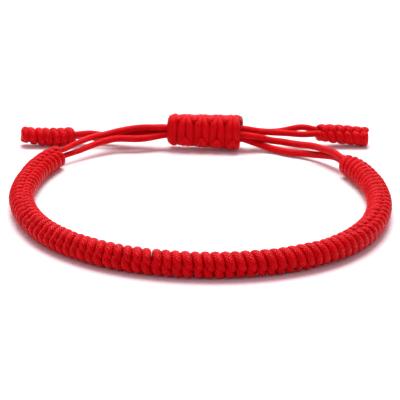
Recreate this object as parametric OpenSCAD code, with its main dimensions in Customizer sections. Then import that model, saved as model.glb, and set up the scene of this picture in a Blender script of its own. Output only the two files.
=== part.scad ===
// Knotted cord bracelet with a sliding closure, lying on a table. Millimetres, +Z up.
// The band is a round sinnet of two strands. Two cords leave each end of it, run through the
// sliding knot at the back and end in a short stopper knot on the far side.
// The origin is on the table, under the middle of the band and the sliding knot.

/* [Band] */
// Mean radius of the band's centre line, seen from above
band_mean_r = 33.85; // [30:0.25:40]
// Thickness of the round band over its ridges
band_thick = 4.7; // [3.6:0.1:5]
// How oval the band lies, as a share of its radius
band_oval = 0.03; // [0:0.005:0.05]
// Bearing of the band's longer axis, in degrees from +X
band_oval_bearing = -45; // [-90:5:90]
// How square the band lies, as a share of its radius
band_square = 0.011; // [0:0.001:0.02]
// Bearing of the band's left end, in degrees from +X
band_from = -217.4; // [-230:0.5:-210]
// Bearing of the band's right end, in degrees from +X
band_to = 29.8; // [20:0.1:40]
// Loops along one side of the band
band_loops = 86; // [80:1:95]
// Depth of the grooves between the loops
band_groove = 0.4; // [0.1:0.05:0.6]

/* [Closure] */
// Length of the sliding knot along the cords
slider_len = 15.4; // [13:0.1:17]
// Height of the sliding knot at its middle
slider_tall = 6.6; // [6:0.1:7]
// Thickness of the sliding knot from front to back
slider_deep = 5.6; // [5:0.1:6]
// Bars across the face of the sliding knot
slider_bars = 9; // [7:2:11]
// Length of a stopper knot
stopper_len = 10.6; // [9:0.1:11]
// Thickness of a stopper knot
stopper_thick = 3.9; // [3.4:0.1:4.1]
// Loops along one side of the left and the right stopper knot
stopper_loops = [7, 6]; // [5:1:8]
// Diameter of a tie cord
cord_d = 1.4; // [1.2:0.05:1.4]

/* [Finish] */
// Colour of the cord
cord_color = "crimson"; // [crimson, firebrick, red, darkred]

/* [Hidden] */

// Middle of the band's plan, and the height of its centre line
band_center = [-0.09, 0.8, band_thick / 2];
// How far the soft loop lies out of its even curve. Columns: bearing, distance outward
band_nudges = [
    [-220, -0.5], [-204, -0.62], [-195, -0.68], [-186, -0.35], [-178, 0], [-150, 0.1], [-130, 0],
    [-75, 0], [-60, 0.15], [-42, 0.35], [-30, 0.25], [-18, 0.1], [31, 0]
];
// Share of a loop by which a strand advances while it wraps half the band
loop_lean = 0.95;
// Samples along one loop, and corners of a ridged section
loop_steps = 4;
ridge_sides = 10;
// A knotted cord's end closes in over this length, to this share of its radius
end_round = 3;
end_share = 0.76;

// The zipper seam where the band's two columns of loops meet turns as it goes round.
// Columns: bearing of the place in degrees from +X, angle of the seam above outward in degrees
seam_table = [
    [-220, 125], [-178, 108], [-167, 84], [-155, 48], [-141, 25], [-130, 16], [-105, 11],
    [-98, 4], [-85, -10], [-62, -28], [-50, -60], [-38, -104], [-28, -120], [-10, -122],
    [2, -114], [31, -110]
];
// The loops lie wider apart in the middle. Columns: share of all the loops, bearing reached
loop_table = [
    [0, band_from], [0.377, -125], [0.57, -74], [0.627, -60], [0.714, -40], [1, band_to]
];
// A stopper's seam lies on its front, and turns by this much from end to end
stopper_seam = [20, 60];
// Share of its thickness that each stopper has at its inner end, middle and outer end
left_stopper_taper = [[0, 1], [0.5, 1], [1, 0.84]];
right_stopper_taper = [[0, 0.84], [0.5, 1], [1, 1]];

// Middle of the sliding knot, its turn about Z, and how far its right end tips down, in degrees
slider_center = [1.1, 31.9, 3.9];
slider_turn = -atan(1 / 16);
slider_tip = 1.5;
// The sliding knot was pulled tighter on the left: its section swells by this share to the right
slider_swell = 0.16;
slider_sides = 16;
bar_steps = 4;
bar_groove = 0.4;
// How boxy a section of the sliding knot is: 2 is an ellipse
slider_boxy = 3.4;
// The channel holds four cords, two by two. Columns: radius, drop below the knot's middle
channel_ends = [[1.9, 0.45], [2.05, 0.25]];

// Centre lines of the stoppers: inner end, middle, outer end
left_stopper_line = [[-25.2, 33.9, 2.1], [-30.6, 33.75, 2], [-35.7, 33.32, 2.7]];
right_stopper_line = [[23.4, 33.4, 3.05], [28.6, 33.9, 2.43], [33.9, 33.4, 2.02]];

// Routes of the tie cords, from the band's end to the stopper on the other side. Inside the
// sliding knot the four turn about one another by a quarter turn.
left_upper_route = [
    [-27.6, 22.65, 3.14], [-26.7, 23.34, 3.12], [-25.6, 24.72, 3.26], [-24.2, 26.21, 3.42],
    [-22.6, 27.88, 3.55], [-20.6, 29.51, 3.6], [-18.6, 30.95, 3.52], [-16.6, 31.7, 3.8],
    [-14.4, 32.15, 4.11], [-12.2, 32.3, 4.37], [-9.6, 32.15, 4.49], [-7, 31.94, 4.56],
    [-5, 32.07, 4.62], [-3, 32.22, 4.61], [-1, 32.36, 4.52], [1, 32.47, 4.36], [3, 32.54, 4.14],
    [5, 32.54, 3.88], [7, 32.48, 3.58], [8.6, 32.37, 3.33], [11, 33.1, 3.31], [14, 33.4, 3.12],
    [16.2, 33.7, 3.18], [18.4, 34, 3.46], [20.8, 34.15, 3.72], [23.1, 34.1, 3.42]
];
left_lower_route = [
    [-27.6, 22.65, 1.72], [-26.4, 23.75, 1.74], [-25.2, 24.58, 1.86], [-23.8, 25.62, 2],
    [-22, 27.13, 2.28], [-20, 28.52, 2.6], [-18.4, 29.39, 2.78], [-16.8, 30.2, 2.83],
    [-14.6, 30.3, 2.8], [-12.6, 30.35, 2.74], [-10.4, 30.7, 2.82], [-7, 31.49, 3.19],
    [-5, 31.26, 3.43], [-3, 31.12, 3.68], [-1, 31.04, 3.93], [1, 31.05, 4.15], [3, 31.11, 4.33],
    [5, 31.22, 4.44], [7, 31.36, 4.48], [8.6, 31.48, 4.46], [11, 31.7, 4.01], [14, 31.95, 3.62],
    [16.2, 32.2, 3.38], [18.4, 32.5, 3.15], [20.8, 32.7, 2.9], [23.1, 32.7, 2.98]
];
right_upper_route = [
    [28.1, 17.78, 3.25], [27.55, 18.38, 3.3], [26.7, 19.74, 3.48], [25.7, 21.21, 3.5],
    [24.6, 22.68, 3.35], [23.4, 24.39, 3.12], [22.2, 26.02, 2.85], [20, 28.1, 2.35],
    [18, 29.7, 2.1], [16, 30.5, 2.15], [14, 30.9, 2.28], [12.2, 30.65, 2.9], [10.4, 30.4, 3.31],
    [8.6, 30.35, 3.57], [7, 30.45, 3.36], [5, 30.65, 3.11], [3, 30.93, 2.9], [1, 31.26, 2.73],
    [-1, 31.64, 2.62], [-3, 32.04, 2.58], [-5, 32.46, 2.62], [-7, 32.85, 2.73], [-9, 32.6, 3.01],
    [-11, 32.7, 3.1], [-13.4, 32.8, 2.93], [-16, 33, 2.48], [-18.4, 33, 2.43], [-20.4, 33.1, 2.66],
    [-22.2, 33.35, 2.76], [-23.8, 33.25, 2.68], [-25, 33.15, 2.6]
];
right_lower_route = [
    [28.5, 18.03, 1.9], [28.1, 18.71, 2.05], [27.4, 20.14, 2.2], [26.6, 21.38, 2.2],
    [25.6, 22.52, 2], [24.4, 23.73, 1.68], [22.6, 25.26, 1.3], [20.2, 26.75, 1.02],
    [18, 27.64, 0.88], [15.4, 29.27, 0.85], [13.6, 30.05, 1.09], [12.2, 30.55, 1.44],
    [10.4, 31.1, 1.88], [8.6, 31.24, 2.44], [7, 31.58, 2.46], [5, 31.98, 2.55], [3, 32.36, 2.71],
    [1, 32.68, 2.94], [-1, 32.95, 3.21], [-3, 33.15, 3.51], [-5, 33.26, 3.81], [-7, 33.31, 4.1],
    [-9, 33.75, 3.92], [-11, 34.1, 3.64], [-13.4, 34.25, 3.22], [-16, 34.5, 2.25],
    [-18.4, 34.55, 1.4], [-20.4, 34.7, 1.25], [-22.2, 34.85, 1.62], [-23.8, 34.7, 1.86],
    [-25, 34.55, 1.86]
];
cord_sides = 8;

// Unit vector along v
function unit(v) = v / norm(v);

// Radius of the band's plan at a bearing
function band_r(a) =
    band_mean_r * (1 + band_oval * cos(2 * (a - band_oval_bearing)) - band_square * cos(4 * a))
    + lookup(a, band_nudges);

// Point of the band's centre line at a bearing
function band_point(a) = band_center + band_r(a) * [cos(a), sin(a), 0];

// Radius of a boxy oval with the given half sizes, at an angle
function boxy_r(half_y, half_z, power, a) =
    1 / pow(pow(abs(cos(a)) / half_y, power) + pow(abs(sin(a)) / half_z, power), 1 / power);

// Share of the full radius at a distance from the nearer end of a knotted cord
function end_scale(gap) =
    gap >= end_round ? 1 : end_share + (1 - end_share) * sqrt(1 - pow(1 - gap / end_round, 2));

// Drop below the ridges, from 0 to 1, at a place along the loops and an angle from the seam
function loop_drop(loop, a) =
    let (turn = a - 360 * floor(a / 360), lower = turn >= 180,
         lean = loop_lean * (lower ? turn - 180 : turn) / 180,
         phase = loop + lean + (lower ? 0.5 : 0),
         seam = pow(max(0, cos(2 * turn)), 3))
    max(0.5 - 0.5 * cos(360 * phase), 0.6 * seam);

// Ring of corners around a centre, in the plane square to a direction, counted from level
function ring(center, along, radii) =
    let (side = unit(cross(along, [0, 0, 1])), up = cross(side, along), n = len(radii))
    [for (k = [0:n - 1]) center + radii[k] * (cos(90 + 360 * k / n) * side
                                              + sin(90 + 360 * k / n) * up)];

// Quadratic curve through a line's first, middle and last point, and its direction
function line_point(p, t) =
    let (mid = 2 * p[1] - (p[0] + p[2]) / 2)
    (1 - t) * (1 - t) * p[0] + 2 * t * (1 - t) * mid + t * t * p[2];
function line_along(p, t) =
    let (mid = 2 * p[1] - (p[0] + p[2]) / 2)
    unit((1 - t) * (mid - p[0]) + t * (p[2] - mid));

// Direction of a route at its point i
function route_along(route, i) =
    unit(route[min(i + 1, len(route) - 1)] - route[max(i - 1, 0)]);

// Closed solid through a list of rings that all have the same number of corners
module swept(rings) {
    n = len(rings[0]);
    last = len(rings) - 1;
    sides = [for (i = [0:last - 1]) for (k = [0:n - 1]) let (m = (k + 1) % n)
             each [[i * n + k, i * n + m, (i + 1) * n + m], [i * n + k, (i + 1) * n + m, (i + 1) * n + k]]];
    caps = [[for (k = [n - 1:-1:0]) k], [for (k = [0:n - 1]) last * n + k]];
    polyhedron([for (r = rings) each r], concat(sides, caps), convexity = 10);
}

// Ridged solid through centres, directions, radii and seam angles, one of each a ring
module knotted(centers, alongs, radii, groove, length, seams) {
    count = len(centers) - 1;
    swept([for (i = [0:count])
           let (gap = min(i, count - i) / count * length, round = end_scale(gap))
           ring(centers[i], alongs[i],
                [for (k = [0:ridge_sides - 1])
                 round * (radii[i] - groove * loop_drop(i / loop_steps,
                                                      90 + 360 * k / ridge_sides - seams[i]))])]);
}

// Round band of interlocked loops, open at the back
module knotted_band() {
    rings = band_loops * loop_steps;
    bearings = [for (i = [0:rings]) lookup(i / rings, loop_table)];
    color(cord_color)
        knotted([for (a = bearings) band_point(a)],
                [for (a = bearings) unit(band_point(a + 0.1) - band_point(a - 0.1))],
                [for (a = bearings) band_thick / 2], band_groove,
                (band_to - band_from) * band_mean_r * PI / 180,
                [for (a = bearings) lookup(a, seam_table)]);
}

// Short knot at the ends of two tie cords
module stopper_knot(line, loops, taper) {
    rings = loops * loop_steps;
    shares = [for (i = [0:rings]) i / rings];
    color(cord_color)
        knotted([for (t = shares) line_point(line, t)], [for (t = shares) line_along(line, t)],
                [for (t = shares) stopper_thick / 2 * lookup(t, taper)], band_groove, stopper_len,
                [for (t = shares) stopper_seam[0] + (stopper_seam[1] - stopper_seam[0]) * t]);
}

// Flat knot that slides on the four tie cords, with the channel that they run through
module sliding_knot() {
    n = slider_sides;
    rings = slider_bars * bar_steps;
    bar = slider_len / slider_bars;
    outer = [for (i = [0:rings]) for (k = [0:n - 1])
             let (x = -slider_len / 2 + slider_len * i / rings,
                  a = 360 * k / n,
                  edge = abs(sin(a)) > 0.8,
                  half_turn = sin(a) > 0 ? 0 : 180,
                  wave = edge ? cos(180 * (x / bar) + half_turn) : cos(360 * x / bar),
                  gap = min(i, rings - i) * slider_len / rings,
                  r = boxy_r(slider_deep / 2, slider_tall / 2, slider_boxy, a)
                      * (1 + slider_swell * x / slider_len) - bar_groove * (0.5 - 0.5 * wave))
             [x, end_scale(gap) * r * cos(a), end_scale(gap) * r * sin(a)]];
    inner = [for (side = [0, 1]) for (k = [0:n - 1])
             let (a = 360 * k / n, r = channel_ends[side][0])
             [(side - 0.5) * slider_len, r * cos(a), r * sin(a) - channel_ends[side][1]]];
    near = 0;
    far = rings * n;
    hole = (rings + 1) * n;
    skin = [for (i = [0:rings - 1]) for (k = [0:n - 1])
            let (m = (k + 1) % n, b = i * n)
            each [[b + k, b + n + m, b + m], [b + k, b + n + k, b + n + m]]];
    walls = [for (k = [0:n - 1]) let (m = (k + 1) % n)
             each [[hole + k, hole + m, hole + n + m], [hole + k, hole + n + m, hole + n + k],
                   [near + k, near + m, hole + m], [near + k, hole + m, hole + k],
                   [far + k, hole + n + k, hole + n + m], [far + k, hole + n + m, far + m]]];
    color(cord_color)
        translate(slider_center) rotate([0, slider_tip, slider_turn])
            polyhedron(concat(outer, inner), concat(skin, walls), convexity = 10);
}

// Plain tube along a tie cord's route
module tie_cord(route) {
    color(cord_color)
        swept([for (i = [0:len(route) - 1])
               ring(route[i], route_along(route, i), [for (k = [1:cord_sides]) cord_d / 2])]);
}

knotted_band();
sliding_knot();
tie_cord(left_upper_route);  // left_tie_upper
tie_cord(left_lower_route);  // left_tie_lower
tie_cord(right_upper_route);  // right_tie_upper
tie_cord(right_lower_route);  // right_tie_lower
stopper_knot(left_stopper_line, stopper_loops[0], left_stopper_taper);  // left_stopper_knot
stopper_knot(right_stopper_line, stopper_loops[1], right_stopper_taper);  // right_stopper_knot
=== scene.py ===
"""A red knotted cord bracelet, lying closed on a white table.

Two braided cords are tied round one another into a round band. They leave each end of it as a
pair of tie cords, which run through a sliding square knot and end in a short stopper knot on
the far side. Every strand is swept along the path that it takes in the real knot.
"""

from math import radians
from typing import NamedTuple

import bpy
import numpy as np
from bpy.props import (
    FloatProperty,
    FloatVectorProperty,
    IntProperty,
    PointerProperty,
)
from bpy.types import Operator, Panel, PropertyGroup
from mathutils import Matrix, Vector


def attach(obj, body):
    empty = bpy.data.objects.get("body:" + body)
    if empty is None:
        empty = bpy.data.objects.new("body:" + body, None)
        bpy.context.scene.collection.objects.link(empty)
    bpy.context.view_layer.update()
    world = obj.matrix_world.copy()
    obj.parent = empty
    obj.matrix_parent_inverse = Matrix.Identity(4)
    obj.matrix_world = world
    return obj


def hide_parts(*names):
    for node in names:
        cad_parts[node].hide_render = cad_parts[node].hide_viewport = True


bl_info = {
    "name": "Knotted Cord Bracelet",
    "version": (1, 0, 0),
    "blender": (4, 5, 0),
    "location": "3D View > Sidebar > Bracelet",
    "description": "Builds a bracelet of knotted cord round its packed frame",
    "category": "Add Mesh",
}

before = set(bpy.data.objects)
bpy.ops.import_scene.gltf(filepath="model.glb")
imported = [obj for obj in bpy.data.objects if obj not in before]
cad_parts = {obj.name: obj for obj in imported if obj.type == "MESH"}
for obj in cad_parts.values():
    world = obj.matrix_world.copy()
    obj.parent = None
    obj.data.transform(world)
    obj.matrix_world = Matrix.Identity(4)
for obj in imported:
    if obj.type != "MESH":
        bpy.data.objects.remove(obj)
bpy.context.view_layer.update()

MM = 0.001
UP = np.array([0.0, 0.0, 1.0])
BODY = "root"
CORD_MATERIAL = "braided_polyester_cord"
RANDOM_SEED = 11
# Nothing reaches lower than this over the table, in millimetres
LOWEST = 0.01

# Routes of the tie cords, from the band's end to the stopper on the other side: x, y, z in
# millimetres
ROUTES = {
    "left_tie_upper": [
        (-27.6, 22.65, 3.14), (-26.7, 23.34, 3.12), (-25.6, 24.72, 3.26), (-24.2, 26.21, 3.42),
        (-22.6, 27.88, 3.55), (-20.6, 29.51, 3.6), (-18.6, 30.95, 3.52), (-16.6, 31.7, 3.8),
        (-14.4, 32.15, 4.11), (-12.2, 32.3, 4.37), (-9.6, 32.15, 4.49), (-7, 31.94, 4.56),
        (-5, 32.07, 4.62), (-3, 32.22, 4.61), (-1, 32.36, 4.52), (1, 32.47, 4.36),
        (3, 32.54, 4.14), (5, 32.54, 3.88), (7, 32.48, 3.58), (8.6, 32.37, 3.33),
        (11, 33.1, 3.31), (14, 33.4, 3.12), (16.2, 33.7, 3.18), (18.4, 34, 3.56),
        (20.8, 34.15, 3.84), (23.1, 34.1, 3.42),
    ],
    "left_tie_lower": [
        (-27.6, 22.65, 1.72), (-26.4, 23.75, 1.74), (-25.2, 24.58, 1.86), (-23.8, 25.62, 2),
        (-22, 27.13, 2.28), (-20, 28.52, 2.6), (-18.4, 29.39, 2.78), (-16.8, 30.2, 2.83),
        (-14.6, 30.3, 2.8), (-12.6, 30.35, 2.74), (-10.4, 30.7, 2.82), (-7, 31.49, 3.19),
        (-5, 31.26, 3.43), (-3, 31.12, 3.68), (-1, 31.04, 3.93), (1, 31.05, 4.15),
        (3, 31.11, 4.33), (5, 31.22, 4.44), (7, 31.36, 4.48), (8.6, 31.48, 4.46),
        (11, 31.7, 4.01), (14, 31.95, 3.62), (16.2, 32.2, 3.38), (18.4, 32.5, 3.09),
        (20.8, 32.7, 2.84), (23.1, 32.7, 2.98),
    ],
    "right_tie_upper": [
        (28.1, 17.78, 3.25), (27.55, 18.38, 3.3), (26.7, 19.74, 3.48), (25.7, 21.21, 3.5),
        (24.6, 22.68, 3.35), (23.4, 24.39, 3.12), (22.2, 26.02, 2.85), (20, 28.1, 2.35),
        (18, 29.7, 2.1), (16, 30.5, 2.15), (14, 30.9, 2.28), (12.2, 30.65, 2.9),
        (10.4, 30.4, 3.31), (8.6, 30.35, 3.57), (7, 30.45, 3.36), (5, 30.65, 3.11),
        (3, 30.93, 2.9), (1, 31.26, 2.73), (-1, 31.64, 2.62), (-3, 32.04, 2.58),
        (-5, 32.46, 2.62), (-7, 32.85, 2.83), (-9, 32.6, 3.14), (-11, 32.7, 3.2),
        (-13.4, 32.8, 2.93), (-16, 33, 2.48), (-18.4, 33, 2.43), (-20.4, 33.1, 2.66),
        (-22.2, 33.35, 2.76), (-23.8, 33.25, 2.68), (-25, 33.15, 2.6),
    ],
    "right_tie_lower": [
        (28.5, 18.03, 1.9), (28.1, 18.71, 2.05), (27.4, 20.14, 2.2), (26.6, 21.38, 2.2),
        (25.6, 22.52, 2), (24.4, 23.73, 1.68), (22.6, 25.26, 1.3), (20.2, 26.75, 1.02),
        (18, 27.64, 0.88), (15.4, 29.27, 0.85), (13.6, 30.05, 1.09), (12.2, 30.55, 1.44),
        (10.4, 31.1, 1.88), (8.6, 31.24, 2.44), (7, 31.58, 2.46), (5, 31.98, 2.55),
        (3, 32.36, 2.71), (1, 32.68, 2.94), (-1, 32.95, 3.21), (-3, 33.15, 3.51),
        (-5, 33.26, 3.81), (-7, 33.31, 4.1), (-9, 33.75, 3.92), (-11, 34.1, 3.64),
        (-13.4, 34.25, 3.22), (-16, 34.5, 2.25), (-18.4, 34.55, 1.4), (-20.4, 34.7, 1.25),
        (-22.2, 34.85, 1.62), (-23.8, 34.7, 1.86), (-25, 34.55, 1.86),
    ],
}
# Centre lines of the stoppers in millimetres: inner end, middle, outer end
STOPPERS = {
    "left_stopper_knot": [(-25.2, 33.9, 2.1), (-30.6, 33.75, 1.96), (-35.85, 33.9, 2.52)],
    "right_stopper_knot": [(23.7, 33.4, 3.04), (28.6, 33.85, 2.43), (33.85, 33.65, 2.0)],
}
# Loops along one side of each stopper, and the share of its thickness at each of those places
STOPPER_LOOPS = {"left_stopper_knot": 7, "right_stopper_knot": 6}
STOPPER_SHARES = {"left_stopper_knot": (1.0, 1.0, 0.84), "right_stopper_knot": (0.88, 1.07, 1.05)}


# Small geometry helpers

def unit(v):
    """Rows of v scaled to length 1."""
    return v / np.linalg.norm(v, axis=-1, keepdims=True)


def run_along(points):
    """Distance along a polyline to each of its points."""
    return np.r_[0, np.cumsum(np.linalg.norm(np.diff(points, axis=0), axis=1))]


def read_off(table, at):
    """Values at the given places, straight between a table's rows of place and value."""
    places, values = zip(*table)
    return np.interp(at, places, values)


def smooth_line(points, step):
    """Points a step apart, or closer, on the natural cubic spline through the given ones."""
    p = np.asarray(points, float)
    knots = run_along(p)
    gap = np.diff(knots)
    count = len(p)
    system = np.eye(count)
    right = np.zeros_like(p)
    for i in range(1, count - 1):
        system[i, i - 1:i + 2] = gap[i - 1], 2 * (gap[i - 1] + gap[i]), gap[i]
        right[i] = 6 * ((p[i + 1] - p[i]) / gap[i] - (p[i] - p[i - 1]) / gap[i - 1])
    bends = np.linalg.solve(system, right)
    at = np.linspace(0, knots[-1], int(np.ceil(knots[-1] / step)) + 1)
    i = np.clip(np.searchsorted(knots, at) - 1, 0, count - 2)
    h = gap[i][:, None]
    a = (knots[i + 1] - at)[:, None] / h
    b = 1 - a
    return (a * p[i] + b * p[i + 1]
            + ((a ** 3 - a) * bends[i] + (b ** 3 - b) * bends[i + 1]) * h * h / 6)


def carried_frames(path):
    """Normals along a path that turn as little as they can, from one that points up."""
    along = unit(np.gradient(path, axis=0))
    normals = np.empty_like(path)
    n = UP - along[0] * along[0].dot(UP)
    for i, t in enumerate(along):
        n = n - t * n.dot(t)
        n = n / np.linalg.norm(n)
        normals[i] = n
    return normals


def closing_ends(count, rings):
    """Factors on a strand's thickness that round its two ends over so many rings."""
    near = np.minimum(np.arange(count), np.arange(count)[::-1]) / rings
    return np.where(near >= 1, 1.0, np.sqrt(np.clip(1 - (1 - near) ** 2, 0.04, 1)))


# Strands

def strand_faces(count, sides):
    """Faces of a closed tube of rings; the middles of its two ends follow the rings' vertices."""
    first, last = count * sides, count * sides + 1
    row = np.arange(count - 1)[:, None] * sides
    here = np.arange(sides)
    after = (here + 1) % sides
    quads = np.stack([row + here, row + after, row + sides + after, row + sides + here], axis=-1)
    faces = [tuple(quad) for quad in quads.reshape(-1, 4).tolist()]
    end = (count - 1) * sides
    pairs = list(zip(here.tolist(), after.tolist()))
    faces += [(first, b, a) for a, b in pairs]
    faces += [(last, end + a, end + b) for a, b in pairs]
    return faces


def strand_uv(run, sides):
    """UV values of those faces: millimetres along the strand, and 0 to 1 round it."""
    uv = []
    for start, stop in zip(run[:-1], run[1:]):
        for col in range(sides):
            v0, v1 = col / sides, (col + 1) / sides
            uv += [start, v0, start, v1, stop, v1, stop, v0]
    for end, step in ((run[0], 1), (run[-1], -1)):
        for col in range(sides):
            edges = (col + 1, col)[::step]
            uv += [end, (col + 0.5) / sides, end, edges[0] / sides, end, edges[1] / sides]
    return np.array(uv, np.float32)


def sweep(name, path, outward, half_wide, half_tall, sides, material):
    """A strand along a path in millimetres, half_tall thick along outward, as one closed mesh."""
    path = np.asarray(path, float)
    along = unit(np.gradient(path, axis=0))
    normal = unit(outward - along * (outward * along).sum(axis=1, keepdims=True))
    across = np.cross(along, normal)
    # The ring starts underneath, so that its seam is out of sight
    turn = 2 * np.pi * (np.arange(sides) / sides + 0.5)
    tall = (np.asarray(half_tall)[:, None] * np.cos(turn))[:, :, None]
    wide = (np.asarray(half_wide)[:, None] * np.sin(turn))[:, :, None]
    rings = path[:, None, :] + tall * normal[:, None, :] + wide * across[:, None, :]
    rings[:, :, 2] = np.maximum(rings[:, :, 2], LOWEST)
    verts = np.concatenate([rings.reshape(-1, 3), path[:1], path[-1:]]) * MM
    mesh = bpy.data.meshes.new(name)
    mesh.from_pydata(verts.tolist(), [], strand_faces(len(path), sides))
    mesh.uv_layers.new(name="strand").data.foreach_set("uv", strand_uv(run_along(path), sides))
    mesh.polygons.foreach_set("use_smooth", [True] * len(mesh.polygons))
    mesh.materials.append(material)
    mesh.update()
    piece = bpy.data.objects.new(name, mesh)
    bpy.context.scene.collection.objects.link(piece)
    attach(piece, BODY)
    return piece


# Materials

class Nodes:
    """Short ways to add and join the shader nodes of one material."""

    def __init__(self, material):
        material.use_nodes = True
        self.tree = material.node_tree
        self.tree.nodes.clear()

    def add(self, kind, **values):
        """A new node with the given properties."""
        node = self.tree.nodes.new(kind)
        for name, value in values.items():
            setattr(node, name, value)
        return node

    def join(self, source, target):
        """Link an output to an input."""
        self.tree.links.new(source, target)

    def math(self, operation, *inputs):
        """The result of a math node, from numbers or outputs."""
        node = self.add("ShaderNodeMath", operation=operation)
        for socket, value in zip(node.inputs, inputs):
            if isinstance(value, (int, float)):
                socket.default_value = value
            else:
                self.join(value, socket)
        return node.outputs[0]

    def mix_numbers(self, factor, first, second):
        """The first value where the factor is 0, the second where it is 1."""
        node = self.add("ShaderNodeMix", data_type="FLOAT")
        for socket, value in zip(("Factor", "A", "B"), (factor, first, second)):
            self.join(value, node.inputs[socket])
        return node.outputs["Result"]

    def span(self, value, low, high, to_low, to_high):
        """The value, taken from one range to another and clamped to it."""
        node = self.add("ShaderNodeMapRange")
        for socket, number in zip(("From Min", "From Max", "To Min", "To Max"),
                                  (low, high, to_low, to_high)):
            node.inputs[socket].default_value = number
        self.join(value, node.inputs["Value"])
        return node.outputs["Result"]

    def noise(self, coordinates, scale, detail):
        """Noise in the object's own space, which is in metres."""
        node = self.add("ShaderNodeTexNoise")
        node.inputs["Scale"].default_value = scale
        node.inputs["Detail"].default_value = detail
        self.join(coordinates.outputs["Object"], node.inputs["Vector"])
        return node.outputs["Fac"]


def plait_relief(n, lean_right, lean_left, over, slope):
    """How high the upper plait stands at each place, and the normals of the plaits' sides.

    over is 1 where the plaits that lean to the left lie on top, and 0 where the others do.
    """
    # A plait runs under its neighbours with sides this much gentler, and narrows beside them
    dip_share, narrowing = 0.45, 0.35
    angle_right = n.math("MULTIPLY", n.math("FRACT", lean_right), np.pi)
    angle_left = n.math("MULTIPLY", n.math("FRACT", lean_left), np.pi)
    crown_right, crown_left = n.math("SINE", angle_right), n.math("SINE", angle_left)
    right_plait = n.math("MULTIPLY", crown_right, n.math("POWER", crown_left, narrowing))
    left_plait = n.math("MULTIPLY", crown_left, n.math("POWER", crown_right, narrowing))
    height = n.mix_numbers(over, right_plait, left_plait)

    gentle = dip_share * slope
    slope_right = n.math("ADD", slope, n.math("MULTIPLY", over, gentle - slope))
    slope_left = n.math("ADD", gentle, n.math("MULTIPLY", over, slope - gentle))
    tilt_right = n.math("MULTIPLY", n.math("COSINE", angle_right), slope_right)
    tilt_left = n.math("MULTIPLY", n.math("COSINE", angle_left), slope_left)
    # A normal map holds -1 to 1 as 0 to 1
    tilt = n.add("ShaderNodeCombineXYZ")
    n.join(n.math("MULTIPLY_ADD", n.math("ADD", tilt_right, tilt_left), -0.5, 0.5),
           tilt.inputs[0])
    n.join(n.math("MULTIPLY_ADD", n.math("SUBTRACT", tilt_right, tilt_left), -0.5, 0.5),
           tilt.inputs[1])
    tilt.inputs[2].default_value = 1.0
    relief = n.add("ShaderNodeNormalMap", space="TANGENT", uv_map="strand")
    n.join(tilt.outputs[0], relief.inputs["Color"])
    return height, relief.outputs["Normal"]


def plait_color(n, settings, height, which, where):
    """The dye's colour, not quite alike on any two plaits, with painted shade that darkens it
    between the plaits.
    """
    chance = n.add("ShaderNodeTexWhiteNoise", noise_dimensions="3D")
    n.join(which.outputs[0], chance.inputs["Vector"])
    patches = n.noise(where, scale=420.0, detail=3.0)
    value = n.math("MULTIPLY", n.span(patches, 0.3, 0.7, 0.92, 1.08),
                   n.span(chance.outputs["Value"], 0.0, 1.0, 0.9, 1.1))
    shade = n.add("ShaderNodeMix", data_type="RGBA")
    shade.inputs["A"].default_value = (*settings.painted_gap_shade, 1.0)
    shade.inputs["B"].default_value = (*settings.color, 1.0)
    # Painted shade: the colour darkens towards the gap shade where a plait dips under its
    # neighbours, standing in for the shade between them
    n.join(n.span(height, 0.0, 0.6, 0.0, 1.0), shade.inputs["Factor"])
    vary = n.add("ShaderNodeHueSaturation")
    n.join(value, vary.inputs["Value"])
    n.join(shade.outputs["Result"], vary.inputs["Color"])
    return vary.outputs["Color"]


def braided_cord(settings):
    """Braided polyester cord: rounded plaits that pass over and under, of shiny filament."""
    material = bpy.data.materials.new(CORD_MATERIAL)
    n = Nodes(material)
    place = n.add("ShaderNodeUVMap", uv_map="strand")
    split = n.add("ShaderNodeSeparateXYZ")
    n.join(place.outputs["UV"], split.inputs[0])
    where = n.add("ShaderNodeTexCoord")

    # The two sets of plaits, which lean to the right and to the left round the cord
    along = n.math("DIVIDE", split.outputs["X"], settings.plait_length)
    round_ = n.math("MULTIPLY", split.outputs["Y"], float(settings.plaits))
    lean_right, lean_left = n.math("ADD", along, round_), n.math("SUBTRACT", along, round_)
    row_right, row_left = n.math("FLOOR", lean_right), n.math("FLOOR", lean_left)
    over = n.math("MODULO", n.math("ABSOLUTE", n.math("ADD", row_right, row_left)), 2.0)
    height, relief = plait_relief(n, lean_right, lean_left, over, settings.plait_slope)
    which = n.add("ShaderNodeCombineXYZ")
    n.join(row_right, which.inputs[0])
    n.join(row_left, which.inputs[1])

    fuzz = n.add("ShaderNodeBump")
    fuzz.inputs["Strength"].default_value = 0.3
    fuzz.inputs["Distance"].default_value = 0.02 * MM
    n.join(n.noise(where, scale=5200.0, detail=2.0), fuzz.inputs["Height"])
    n.join(relief, fuzz.inputs["Normal"])

    shader = n.add("ShaderNodeBsdfPrincipled")
    for socket, value in (
        # Light passes a little way through the plaits
        ("Subsurface Weight", 0.35),
        ("Subsurface Scale", 0.6 * MM),
        ("Subsurface Radius", (1.0, 0.15, 0.2)),
        ("Sheen Weight", 0.03),
        ("Sheen Roughness", 0.4),
        ("Sheen Tint", (1.0, 0.05, 0.08, 1.0)),
        # Light is reflected between red filaments, so that highlights are red too
        ("Specular IOR Level", 0.2),
        ("Specular Tint", (1.0, 0.16, 0.22, 1.0)),
    ):
        shader.inputs[socket].default_value = value
    n.join(plait_color(n, settings, height, which, where), shader.inputs["Base Color"])
    n.join(n.span(height, 0.0, 1.0, 0.5, 0.2), shader.inputs["Roughness"])
    n.join(fuzz.outputs["Normal"], shader.inputs["Normal"])
    output = n.add("ShaderNodeOutputMaterial")
    n.join(shader.outputs["BSDF"], output.inputs["Surface"])
    return material


def cord_material():
    """The one cord material, made when it is first asked for."""
    found = bpy.data.materials.get(CORD_MATERIAL)
    return found or braided_cord(bpy.context.scene.bracelet_cord)


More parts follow.
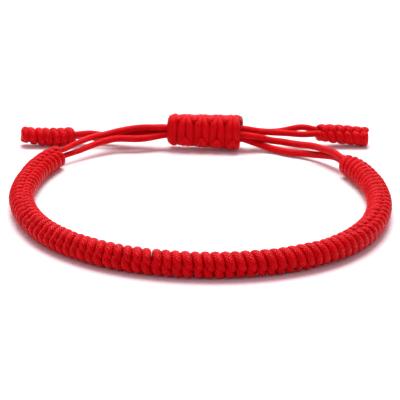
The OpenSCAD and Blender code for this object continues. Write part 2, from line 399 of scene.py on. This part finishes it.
def table_top():
    """Matt white paper with a faint grain."""
    material = bpy.data.materials.new("white_table")
    n = Nodes(material)
    grain = n.noise(n.add("ShaderNodeTexCoord"), scale=900.0, detail=2.0)
    shader = n.add("ShaderNodeBsdfPrincipled")
    shader.inputs["Roughness"].default_value = 0.9
    shader.inputs["Specular IOR Level"].default_value = 0.1
    n.join(n.span(grain, 0.0, 1.0, 0.8, 0.84), shader.inputs["Base Color"])
    output = n.add("ShaderNodeOutputMaterial")
    n.join(shader.outputs["BSDF"], output.inputs["Surface"])
    return material


# Settings

class CordSettings(PropertyGroup):
    """The braided cord that everything is tied from."""

    diameter: FloatProperty(
        name="Diameter", description="Diameter of a tie cord, in millimetres",
        default=1.4, min=1.0, max=1.5)
    color: FloatVectorProperty(
        name="Colour", description="Colour of the plaits", subtype="COLOR",
        default=(0.53, 0.001, 0.0035), min=0.0, max=1.0)
    # Painted shade: the dye is the same all over, and this darker colour between the plaits stands
    # in for the shade in the creases between them
    painted_gap_shade: FloatVectorProperty(
        name="Gap colour", description="Colour between the plaits", subtype="COLOR",
        default=(0.38, 0.0006, 0.002), min=0.0, max=1.0)
    plaits: IntProperty(
        name="Plaits", description="Plaits that lean one way round the cord",
        default=8, min=4, max=16)
    plait_length: FloatProperty(
        name="Plait length", description="Length of one crossing, in millimetres",
        default=0.5, min=0.2, max=1.5)
    plait_slope: FloatProperty(
        name="Plait slope", description="Slope of a plait's sides", default=0.38, min=0.0, max=1.0)


class BandSettings(PropertyGroup):
    """The round band of two interlocked strands."""

    mean_radius: FloatProperty(
        name="Radius", description="Mean radius of the centre line, in millimetres",
        default=33.85, min=25.0, max=40.0)
    thickness: FloatProperty(
        name="Thickness", description="Thickness over the loops, in millimetres",
        default=4.7, min=3.5, max=5.0)
    loops: IntProperty(
        name="Loops", description="Loops along one side", default=86, min=40, max=120)
    lean: FloatProperty(
        name="Lean", description="Advance of a loop while it wraps half the band, in loops",
        default=0.95, min=0.0, max=1.5)


class KnotSettings(PropertyGroup):
    """The stopper knots at the ends of the tie cords."""

    stopper_thickness: FloatProperty(
        name="Stopper thickness", description="Thickness of a stopper, in millimetres",
        default=3.9, min=3.0, max=4.2)


class StageSettings(PropertyGroup):
    """Table, light and camera."""

    elevation: FloatProperty(
        name="Elevation", description="Camera's angle above the table", subtype="ANGLE",
        default=radians(21.5), min=0.0, max=1.57)
    distance: FloatProperty(
        name="Distance", description="Camera's distance from the bracelet",
        subtype="DISTANCE", default=0.43, min=0.1, max=2.0)
    lens: FloatProperty(
        name="Lens", description="Focal length, in millimetres", default=205.5,
        min=20.0, max=300.0)
    table_light: FloatProperty(
        name="Overhead light", description="Power of the softbox above, in watts",
        default=1.85, min=0.0, max=100.0)
    room_light: FloatProperty(
        name="Room light", description="Strength of the surroundings",
        default=0.76, min=0.0, max=5.0)
    room_color: FloatVectorProperty(
        name="Room colour", description="Colour of the light from the surroundings",
        subtype="COLOR", default=(1.0, 0.65, 0.75), min=0.0, max=1.0)


# Tie cords

# Distance between the points of a path in millimetres, and sides of a strand's section
CORD_STEP = 0.22
CORD_SIDES = 16
# How far in millimetres a cord runs on inside the band, and inside its stopper along the
# stopper's line or level; its end lies between these two, by this share
RUN_ON_BAND, RUN_ON_LINE, RUN_ON_LEVEL, LINE_SHARE = 1.4, 2.4, 3.0, 0.6
# The left pair is pulled thinner at the band and at its stopper: x, share of the thickness
LEFT_PAIR_SHARES = [(-25, 0.8), (-22.5, 0.86), (-18.5, 1), (15, 1), (18.5, 0.92), (21, 0.92),
                    (23.2, 0.95)]


def cord_path(name):
    """A tie cord's path: its route, and a little more inside the band's end and its stopper."""
    route = np.array(ROUTES[name], float)
    stopper = "right_stopper_knot" if name.startswith("left") else "left_stopper_knot"
    inner, middle, _ = np.array(STOPPERS[stopper], float)
    start = route[0] - RUN_ON_BAND * unit(route[1] - route[0])
    on_line = inner + RUN_ON_LINE * unit(middle - inner)
    on_level = route[-1] + [RUN_ON_LEVEL * np.sign(inner[0]), 0, 0]
    end = LINE_SHARE * on_line + (1 - LINE_SHARE) * on_level
    return smooth_line(np.concatenate([[start], route, [end]]), CORD_STEP)


class BRACELET_OT_tie_cords(Operator):
    """Lay the four tie cords from the band's ends to the stoppers."""

    bl_idname = "bracelet.tie_cords"
    bl_label = "Tie Cords"

    def execute(self, context):
        cord = context.scene.bracelet_cord
        for name in ROUTES:
            path = cord_path(name)
            radius = cord.diameter / 2 * closing_ends(len(path), rings=3)
            if name.startswith("left"):
                radius *= read_off(LEFT_PAIR_SHARES, path[:, 0])
            piece = sweep(f"{name}_cord", path, carried_frames(path), radius, radius, CORD_SIDES,
                          cord_material())
            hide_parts(name)
        return {"FINISHED"}


# Knotted band and stoppers

# The seam between the two columns of loops turns along the band: bearing, angle, in degrees
SEAM = [(-220, 125), (-178, 108), (-167, 84), (-155, 48), (-141, 25), (-130, 16), (-105, 11),
        (-98, 4), (-85, -10), (-62, -28), (-50, -60), (-38, -104), (-28, -120), (-10, -122),
        (2, -114), (31, -110)]
# Share of all the loops that lies before a bearing: they are wider apart in the middle
LOOP_PLACES = [(0, -217.4), (0.377, -125), (0.57, -74), (0.627, -60), (0.714, -40), (1, 29.7)]
# How far the band lies out of its even curve: bearing, millimetres
NUDGES = [(-220, -0.5), (-204, -0.62), (-195, -0.68), (-186, -0.35), (-178, 0), (-150, 0.1),
          (-130, 0), (-75, 0), (-60, 0.15), (-42, 0.35), (-30, 0.25), (-18, 0.1), (31, 0)]
# Middle of the band in millimetres
BAND_CENTER = np.array([-0.09, 0.8, 2.35])
BAND_POINTS = 600
# The loops stand a little proud of the solid band
BAND_PROUD = 1.03
# The even curve is a little oval, along this bearing, and a little square, by these shares
OVAL_SHARE, OVAL_BEARING, SQUARE_SHARE = 0.03, -np.pi / 4, 0.011
STOPPER_POINTS = 60
# The seam's angle at the two ends of a stopper, in degrees
STOPPER_SEAM = (20, 60)
# The cords' ends run through the stopper from this point of its line; radius in millimetres
CORE_START, CORE_RADIUS = 6, 0.95

# Half thickness of a strand, as a share of the knotted cord's radius
STRAND_SHARE = 0.29
# A loop starts and ends this many degrees past the seam, inside the cord
PAST_SEAM = 16.0
# It is all the way out this many degrees from the seam, and widest this many from its ends
RISE, FILL = 34, 75
# Distance from the middle and thickness where it starts and ends, as shares of those outside
DEEP_DISTANCE, DEEP_THICKNESS = 0.56, 0.82
# Width there, at its widest and on the way back through the core, as shares of a loop's advance
DEEP_WIDTH, FULL_WIDTH, CORE_WIDTH = 0.62, 1.04, 0.54
WRAP_POINTS, RETURN_POINTS = 22, 5
# How far the places, widths and depths of the loops stray, in loops, shares and millimetres
STRAY_PLACE, STRAY_WIDTH, STRAY_DEPTH = 0.025, 0.03, 0.03
BAND_SIDES, STOPPER_SIDES = 12, 14


class Pattern(NamedTuple):
    """How the loops of a knotted cord lie."""

    # Over the loops, in millimetres
    radius: float
    # Advance of a loop while it wraps half the cord, in loops
    lean: float
    # Share of the thickness that the cord has at its ends, and the loops over which it grows
    end_share: float
    end_loops: float
    # No wrap passes closer to an end than this, in loops
    flush: float
    # Width of the loops along the cord: place, share
    plump: tuple
    # Thickness at the first end, in the middle and at the last end
    shares: tuple = (1.0, 1.0, 1.0)


# The band's loops press wide against one another in its middle and less towards its ends
BAND_PLUMP = ((0, 0.78), (0.2, 0.82), (0.35, 0.96), (0.7, 0.96), (0.85, 0.84), (1, 0.82))
STOPPER_PLUMP = ((0, 1.06), (1, 1.06))


class Axis:
    """The middle line of a knotted cord, as functions of the place along its loops."""

    def __init__(self, points, seams, loops):
        self.points, self.seams, self.loops = points, seams, loops
        self.at = np.linspace(0, loops, len(points))
        along = unit(np.gradient(points, axis=0))
        self.level = unit(np.cross(along, UP))
        self.up = np.cross(self.level, along)
        # Length of one loop at each place
        self.step = np.linalg.norm(np.gradient(points, self.at, axis=0), axis=1)

    def value(self, rows, loop):
        """Numbers or vectors, one for each point, read off at the given places."""
        loop = np.clip(loop, 0, self.loops)
        if rows.ndim == 1:
            return np.interp(loop, self.at, rows)
        return np.stack([np.interp(loop, self.at, rows[:, k]) for k in range(3)], axis=-1)

    def section_point(self, loop, level, up):
        """A point given by its place in the cord's section."""
        return self.value(self.points, loop) + self.direction(loop, level, up)

    def direction(self, loop, level, up):
        """A direction given in the cord's section."""
        return (level[:, None] * self.value(self.level, loop)
                + up[:, None] * self.value(self.up, loop))


def band_axis(settings):
    """The band's middle line, from its left end by the front to its right end."""
    degrees = read_off(LOOP_PLACES, np.linspace(0, 1, BAND_POINTS))
    bearings = np.radians(degrees)
    radius = settings.mean_radius * (1 + OVAL_SHARE * np.cos(2 * (bearings - OVAL_BEARING))
                                     - SQUARE_SHARE * np.cos(4 * bearings))
    radius += read_off(NUDGES, degrees)
    points = BAND_CENTER + np.stack([radius * np.cos(bearings), radius * np.sin(bearings),
                                     np.zeros_like(radius)], axis=-1)
    # The seam turns without kinks
    near = 7
    seams = np.pad(read_off(SEAM, degrees), near, mode="edge")
    soft = np.convolve(seams, np.ones(2 * near + 1) / (2 * near + 1), mode="valid")
    return Axis(points, soft, settings.loops)


def stopper_axis(line, loops):
    """A stopper's middle line: one even bend through its three points."""
    inner, middle, outer = np.array(line, float)
    pull = 2 * middle - (inner + outer) / 2
    t = np.linspace(0, 1, STOPPER_POINTS)[:, None]
    points = (1 - t) ** 2 * inner + 2 * t * (1 - t) * pull + t ** 2 * outer
    return Axis(points, np.linspace(*STOPPER_SEAM, STOPPER_POINTS), loops)


# Each row of a strand: place in loops, angle in degrees, distance from the cord's middle, half
# width and half thickness in millimetres

def wrapped_loop(axis, pattern, shift, pitch, swell, sink):
    """Rows of one loop, which wraps half the cord, from one seam to the other."""
    tall = STRAND_SHARE * pattern.radius
    angle = np.linspace(180 + PAST_SEAM, -PAST_SEAM, WRAP_POINTS)
    near = np.minimum(angle + PAST_SEAM, 180 + PAST_SEAM - angle)
    rise = np.sin(np.clip(near / (PAST_SEAM + RISE), 0, 1) * np.pi / 2)
    fill = np.sin(np.clip(near / FILL, 0, 1) * np.pi / 2)
    distance = (pattern.radius - tall - sink) * (DEEP_DISTANCE + (1 - DEEP_DISTANCE) * rise)
    wide = 0.5 * pitch * (DEEP_WIDTH + (FULL_WIDTH - DEEP_WIDTH) * fill) * swell
    wide *= read_off(pattern.plump, shift / axis.loops)
    high = tall * (DEEP_THICKNESS + (1 - DEEP_THICKNESS) * rise)
    return np.stack([shift - pattern.lean * angle / 180, angle, distance, wide, high], axis=-1)


def level_return(pattern, shift, pitch, distance):
    """Rows that go back nearly level through the core, to the start of the next loop."""
    share = np.arange(1, RETURN_POINTS + 1) / (RETURN_POINTS + 1)
    start = shift + pattern.lean * PAST_SEAM / 180
    goal = shift + 1 - pattern.lean * (180 + PAST_SEAM) / 180
    x = distance * np.cos(np.radians(PAST_SEAM)) * (1 - 2 * share)
    sag = distance * np.sin(np.radians(PAST_SEAM))
    half = np.full_like(x, 0.5 * CORE_WIDTH * pitch)
    return np.stack([start + (goal - start) * share, np.degrees(np.arctan2(-sag, x)),
                     np.hypot(x, sag), half, half], axis=-1)


def tucked_end(axis, pattern, row):
    """Rows that carry the strand's end from its last loop's last row into the core."""
    at, angle, distance, wide, high = row
    # Back by most of a loop and three quarters of the way to the middle, growing thinner
    tuck = np.array([0.3, 0.6, 1.0])
    return np.stack([min(at, axis.loops - pattern.flush) - 0.9 * tuck, angle - 30 * tuck,
                     distance * (1 - 0.75 * tuck), wide * (1 - 0.4 * tuck),
                     high * (1 - 0.3 * tuck)], axis=-1)


def interlocked_strand(axis, column, pattern, rng):
    """Path, outward directions and half sizes of one of the two strands of a knotted cord.

    Each loop wraps half the cord, then dives between two loops of the other strand and comes
    back through the core. The second column, 1, has a loop more, pressed flat at each end.
    """
    rows = []
    last = axis.loops + column
    for loop in range(1, last + 1):
        shift = loop - 0.5 * column + rng.normal(0, STRAY_PLACE)
        swell = 1 + rng.normal(0, STRAY_WIDTH)
        sink = abs(rng.normal(0, STRAY_DEPTH))
        pitch = axis.value(axis.step, shift)
        rows.append(wrapped_loop(axis, pattern, shift, pitch, swell, sink))
        end_row = rows[-1][-1]
        if loop < last:
            rows.append(level_return(pattern, shift, pitch, end_row[2]))
    rows.append(tucked_end(axis, pattern, end_row))
    at, angle, distance, wide, high = np.concatenate(rows).T
    at = np.clip(at, pattern.flush, axis.loops - pattern.flush)
    distance = distance * np.interp(at / axis.loops, (0, 0.5, 1), pattern.shares)
    turn = np.radians(angle + axis.value(axis.seams, at) + 180 * column)
    # The knotted cord grows round out of its ends
    near = np.clip(np.minimum(at, axis.loops - at) / pattern.end_loops, 0, 1)
    taper = pattern.end_share + (1 - pattern.end_share) * np.sqrt(1 - (1 - near) ** 2)
    level, up = distance * taper * np.cos(turn), distance * taper * np.sin(turn)
    path = axis.section_point(at, level, up)
    facing = axis.direction(at, np.cos(turn), np.sin(turn))
    ends = closing_ends(len(path), rings=3)
    return path, facing, wide * taper * ends, high * taper * ends


class BRACELET_OT_band(Operator):
    """Tie the band's two interlocked strands."""

    bl_idname = "bracelet.band"
    bl_label = "Knotted Band"

    def execute(self, context):
        settings = context.scene.bracelet_band
        rng = np.random.default_rng(RANDOM_SEED)
        axis = band_axis(settings)
        pattern = Pattern(radius=BAND_PROUD * settings.thickness / 2, lean=settings.lean,
                          end_share=0.8, end_loops=3.0, flush=0.42, plump=BAND_PLUMP)
        for column in (0, 1):
            strand = interlocked_strand(axis, column, pattern, rng)
            piece = sweep(f"band_strand_{column + 1}", *strand, BAND_SIDES, cord_material())
            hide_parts("knotted_band")
        return {"FINISHED"}


class BRACELET_OT_stopper_knots(Operator):
    """Tie the short knot at the ends of each pair of tie cords."""

    bl_idname = "bracelet.stopper_knots"
    bl_label = "Stopper Knots"

    def execute(self, context):
        settings = context.scene.bracelet_knots
        rng = np.random.default_rng(RANDOM_SEED + 1)
        for name, line in STOPPERS.items():
            axis = stopper_axis(line, STOPPER_LOOPS[name])
            pattern = Pattern(radius=settings.stopper_thickness / 2, lean=0.95,
                              end_share=0.88, end_loops=0.7, flush=0.4, plump=STOPPER_PLUMP,
                              shares=STOPPER_SHARES[name])
            for column in (0, 1):
                strand = interlocked_strand(axis, column, pattern, rng)
                piece = sweep(f"{name}_strand_{column + 1}", *strand, STOPPER_SIDES,
                              cord_material())
                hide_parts(name)
            # Cut off flush with the stopper's outer end
            path = axis.points[CORE_START:-1]
            radius = CORE_RADIUS * closing_ends(len(path), rings=2)
            piece = sweep(f"{name}_core", path, carried_frames(path), radius, radius, CORD_SIDES,
                          cord_material())
            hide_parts(name)
        return {"FINISHED"}


# Sliding knot, in millimetres in its own box: x along the cords, y to the back, z up

# Where the box stands: its middle, its turn on the table and its tip to the right
SLIDER_CENTER = np.array([1.1, 31.9, 3.9])
SLIDER_TURN = -np.arctan(1 / 16)
SLIDER_TIP = radians(1.5)
SLIDER_LENGTH = 15.2
# Its right end is thicker than its left end by this share
SLIDER_SWELL = 0.16
SLIDER_STEP = 0.14
# Middles of the bars on the front and the back, from the knot's left end, in millimetres
FRONT_BARS = [-6.5, -4.6, -2.95, -1.35, 0.25, 1.75, 3.3, 4.85, 6.3]
BACK_BARS = [-6.35, -4.6, -2.95, -1.35, 0.25, 1.75, 3.3, 4.95, 6.65]
# Half widths of the bars: the end ones are wrapped flatter
BAR_WIDTHS = [1.05, 0.9, 0.85, 0.85, 0.83, 0.82, 0.83, 0.85, 0.88]
BAR_REACH, BAR_HEIGHT = 2.05, 0.55

# Tables of the strand's rows, with the signs for a bar on the back and the top edge. A bar's end:
# share of the way from the turn's middle to the bar, y, z, share of the bar's width, half height
BAR_END = [(1.0, 2.0, 1.1, 1.0, 0.53), (0.9, 1.7, 1.9, 0.95, 0.53)]
# A bight that lies low on the other face and one that lies on the edge, each with its tip last:
# y, z, half width, half height
LOW_BIGHT = [(1.05, 2.55, 0.7, 0.52), (0.05, 2.82, 0.68, 0.5), (-1.0, 2.72, 0.66, 0.5),
             (-1.85, 2.25, 0.64, 0.5), (-2.36, 1.7, 0.64, 0.5), (-2.5, 1.26, 0.64, 0.5)]
EDGE_BIGHT = [(1.05, 2.55, 0.7, 0.52), (0.1, 2.82, 0.68, 0.5), (-0.75, 2.82, 0.66, 0.5),
              (-1.25, 2.68, 0.64, 0.5)]
# Distance of a bight's two legs from its middle; the turns at the knot's ends are wider
LEG, FIRST_LEG, LAST_LEG = 0.46, 0.6, 0.55
# The first bar hangs a little lower than the rest
FIRST_HANG = 1.07
# The strand's first and last rows: x from the bar, y, z, half width, half height
STRAND_START = [(0.7, -0.6, -2.4, 0.5, 0.4), (0.15, 0.1, -2.9, 0.85, 0.5),
                (0.05, 1.15, -2.8, 1.0, 0.53), (0.0, 1.85, -1.95, 1.05, 0.55),
                (0.0, 2.0, -0.9, 1.05, 0.55)]
STRAND_END = [(0.0, 2.05, 0.0, 0.88, 0.55), (0.0, 1.95, 1.1, 0.88, 0.55),
              (0.0, 1.6, 2.0, 0.85, 0.52), (-0.1, 0.9, 2.6, 0.8, 0.5),
              (-0.3, -0.1, 2.7, 0.65, 0.45), (-0.7, -0.8, 2.2, 0.45, 0.4)]


def rotated(first, second, angle):
    """Two coordinates turned by an angle, from the first towards the second."""
    c, s = np.cos(angle), np.sin(angle)
    return c * first - s * second, s * first + c * second


def slider_point(points):
    """Points of the sliding knot's own box, moved to its place on the cords."""
    x, y, z = np.asarray(points, float).T
    grow = 1 + SLIDER_SWELL * x / SLIDER_LENGTH
    z, x = rotated(z * grow, x, SLIDER_TIP)
    x, y = rotated(x, y * grow, SLIDER_TURN)
    return np.stack([x, y, z], axis=-1) + SLIDER_CENTER


def turn_round_edge(bars, k, face, edge):
    """Rows from bar k of one face, round an edge, over two bars of the other and back to k + 1."""
    middle = (bars[k] + bars[k + 1]) / 2
    leg = {0: FIRST_LEG, len(bars) - 2: LAST_LEG}.get(k, LEG)
    *bight, (tip_y, tip_z, tip_width, tip_tall) = LOW_BIGHT if face * edge < 0 else EDGE_BIGHT
    halves = []
    for end in (k, k + 1):
        reach = bars[end] - middle
        hang = FIRST_HANG if end == 0 else 1.0
        half = [(middle + share * reach, face * y, edge * z * hang, width * BAR_WIDTHS[end], tall)
                for share, y, z, width, tall in BAR_END]
        half += [(middle + np.sign(reach) * leg, face * y, edge * z * hang, width, tall)
                 for y, z, width, tall in bight]
        halves.append(half)
    tip = (middle, face * tip_y, edge * tip_z, tip_width, tip_tall)
    return [*halves[0], tip, *halves[1][::-1]]


def bar_strand(bars, face, first_edge):
    """The strand whose bars cross one face, with its turns round the edges."""
    edge = first_edge
    rows = [(bars[0] + x, face * y, edge * z, wide, tall) for x, y, z, wide, tall in STRAND_START]
    for k in range(len(bars) - 1):
        rows.append((bars[k], face * BAR_REACH, 0.0, BAR_WIDTHS[k], BAR_HEIGHT))
        rows += turn_round_edge(bars, k, face, edge)
        edge = -edge
    rows += [(bars[-1] + x, face * y, edge * z, wide, tall) for x, y, z, wide, tall in STRAND_END]
    return np.array(rows)


class BRACELET_OT_sliding_knot(Operator):
    """Tie the sliding square knot round the four tie cords."""

    bl_idname = "bracelet.sliding_knot"
    bl_label = "Sliding Knot"

    def execute(self, context):
        for name, bars, face in (("front", FRONT_BARS, -1), ("back", BACK_BARS, 1)):
            rows = bar_strand(bars, face, face)
            path = smooth_line(rows[:, :3], SLIDER_STEP)
            knots = run_along(rows[:, :3])
            at = np.linspace(0, knots[-1], len(path))
            ends = closing_ends(len(path), rings=4)
            wide = np.interp(at, knots, rows[:, 3]) * ends
            tall = np.interp(at, knots, rows[:, 4]) * ends
            # The knot is flatter from front to back than it is high
            outward = path * np.array([0.0, 1.6, 1.0])
            placed = slider_point(path)
            facing = slider_point(path + 0.01 * unit(outward)) - placed
            piece = sweep(f"slider_{name}_strand", placed, facing, wide, tall, CORD_SIDES,
                          cord_material())
            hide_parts("sliding_knot")
        return {"FINISHED"}


class BRACELET_OT_declare_cords(Operator):
    """Work out each tie cord's path, and keep nothing of it."""

    bl_idname = "bracelet.declare_cords"
    bl_label = "Cord Facts"

    def execute(self, context):
        for name in ROUTES:
            path = cord_path(name)
        return {"FINISHED"}


# Stage, in metres; only the sensor's width is in millimetres

TABLE_HALF = 3.0
SOFTBOX_PLACE, SOFTBOX_SIZE = (0.0, 0.125, 0.31), 0.28
CLIP_START = 0.01
SENSOR_WIDTH = 36.0
# The camera keeps its distance from this point on its elevation, and looks at the other one
CAMERA_CENTER = (0.0, 0.0008, 0.002)
CAMERA_AIM = (0.000075, 0.000552, 0.001369)


def look_at(thing, target):
    """Turn a lamp or a camera towards a point."""
    aim = Vector(target) - thing.location
    thing.rotation_euler = aim.to_track_quat("-Z", "Y").to_euler()


class BRACELET_OT_stage(Operator):
    """Set the white table, the soft light from above and the camera."""

    bl_idname = "bracelet.stage"
    bl_label = "Stage"

    def execute(self, context):
        settings = context.scene.bracelet_stage
        scene = context.scene
        scene.view_settings.view_transform = "Standard"

        corners = [(-TABLE_HALF, -TABLE_HALF, 0), (TABLE_HALF, -TABLE_HALF, 0),
                   (TABLE_HALF, TABLE_HALF, 0), (-TABLE_HALF, TABLE_HALF, 0)]
        mesh = bpy.data.meshes.new("table")
        mesh.from_pydata(corners, [], [(0, 1, 2, 3)])
        mesh.materials.append(table_top())
        table = bpy.data.objects.new("table", mesh)
        scene.collection.objects.link(table)

        world = bpy.data.worlds.new("white_room")
        world.use_nodes = True
        sky = world.node_tree.nodes["Background"]
        sky.inputs["Color"].default_value = (*settings.room_color, 1.0)
        sky.inputs["Strength"].default_value = settings.room_light
        scene.world = world

        light = bpy.data.lights.new("softbox_above", "AREA")
        light.shape, light.size, light.energy = "DISK", SOFTBOX_SIZE, settings.table_light
        softbox = bpy.data.objects.new("softbox_above", light)
        softbox.location = SOFTBOX_PLACE
        look_at(softbox, (0.0, 0.0, 0.0))
        scene.collection.objects.link(softbox)

        camera = bpy.data.cameras.new("camera")
        camera.lens = settings.lens
        camera.sensor_width = SENSOR_WIDTH
        camera.clip_start = CLIP_START
        eye = bpy.data.objects.new("camera", camera)
        scene.collection.objects.link(eye)
        back = Vector((0.0, -np.cos(settings.elevation), np.sin(settings.elevation)))
        eye.location = Vector(CAMERA_CENTER) + settings.distance * back
        look_at(eye, CAMERA_AIM)
        scene.camera = eye
        return {"FINISHED"}


class BRACELET_PT_panel(Panel):
    """Lists the bracelet's sizes and the steps that build it."""

    bl_idname = "BRACELET_PT_panel"
    bl_label = "Bracelet"
    bl_space_type = "VIEW_3D"
    bl_region_type = "UI"
    bl_category = "Bracelet"

    def draw(self, context):
        layout = self.layout
        for group in SETTINGS:
            box = layout.box()
            settings = getattr(context.scene, group)
            for name in settings.__annotations__:
                box.prop(settings, name)
        for operator in OPERATORS:
            layout.operator(operator.bl_idname)


SETTINGS = {
    "bracelet_cord": CordSettings,
    "bracelet_band": BandSettings,
    "bracelet_knots": KnotSettings,
    "bracelet_stage": StageSettings,
}
OPERATORS = (
    BRACELET_OT_stage,
    BRACELET_OT_tie_cords,
    BRACELET_OT_band,
    BRACELET_OT_sliding_knot,
    BRACELET_OT_stopper_knots,
    BRACELET_OT_declare_cords,
)


def register():
    for cls in (*SETTINGS.values(), *OPERATORS, BRACELET_PT_panel):
        bpy.utils.register_class(cls)
    for name, cls in SETTINGS.items():
        setattr(bpy.types.Scene, name, PointerProperty(type=cls))


def unregister():
    for name in SETTINGS:
        delattr(bpy.types.Scene, name)
    for cls in reversed((*SETTINGS.values(), *OPERATORS, BRACELET_PT_panel)):
        bpy.utils.unregister_class(cls)


def main():
    register()
    bpy.ops.bracelet.stage()
    bpy.ops.bracelet.tie_cords()
    bpy.ops.bracelet.band()
    bpy.ops.bracelet.sliding_knot()
    bpy.ops.bracelet.stopper_knots()
    bpy.ops.bracelet.declare_cords()


if __name__ == "__main__":
    main()
